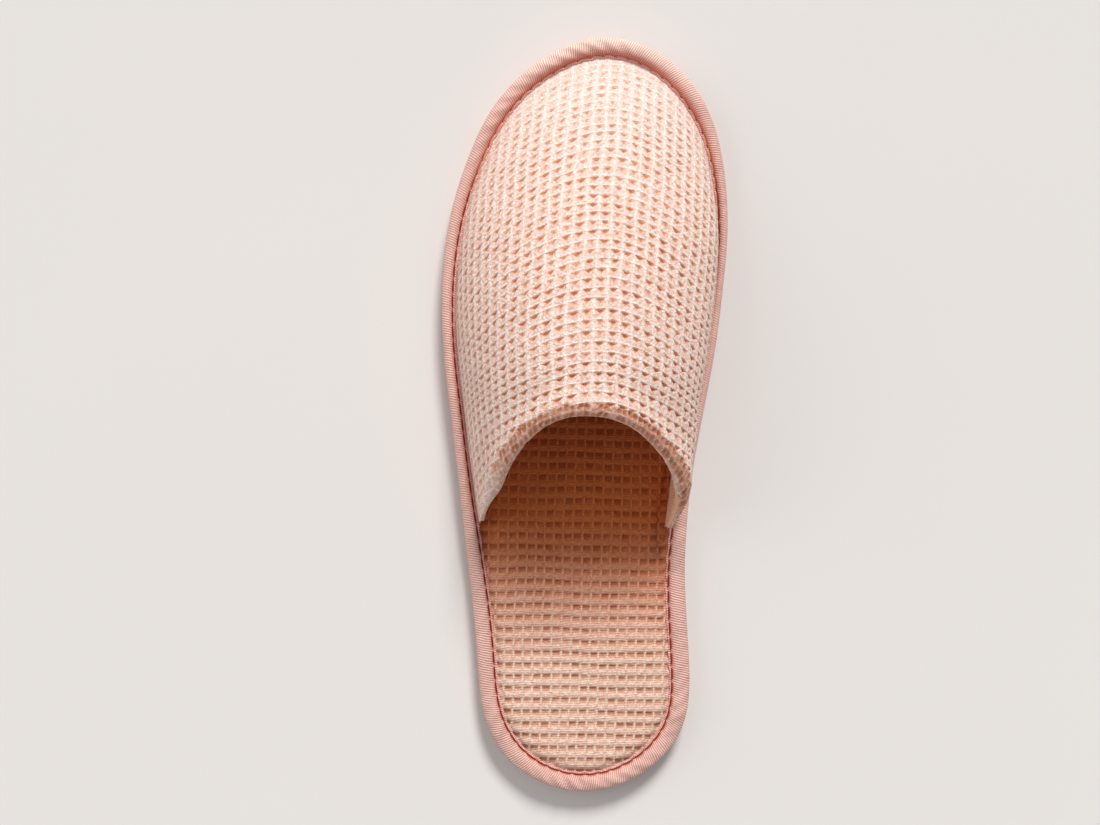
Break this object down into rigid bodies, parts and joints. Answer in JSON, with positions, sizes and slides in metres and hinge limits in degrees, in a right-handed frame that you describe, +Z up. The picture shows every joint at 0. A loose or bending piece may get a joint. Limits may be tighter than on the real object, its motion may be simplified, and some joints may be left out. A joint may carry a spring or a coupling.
{
  "type": "hotel slipper",
  "caption": "Left hotel slipper with a closed toe and an open back: waffle cloth upper and insole, folded tape round the edge, and a flat foam sole with a dotted non-slip sheet.",
  "frame": {"origin": "on the floor, under the middle of the slipper's outline", "axes": "+Y from heel to toe, +Z up, +X to the medial (big toe) side of the left foot"},
  "size_m": [0.1059, 0.2799, 0.0604],
  "materials": {
    "outsole": "pale lavender-grey felt with raised white non-slip dots, on foam board",
    "insole": "peach cotton waffle cloth over thin foam, matt",
    "upper": "peach cotton waffle cloth over thin foam, matt, with a plain cloth lining",
    "binding": "dusty pink twill tape, folded round the edge and stitched, faint sheen"
  },
  "bodies": {
    "root": {"outsole": "outsole", "insole": "insole", "upper": "upper", "binding": "binding"}
  },
  "joints": []
}
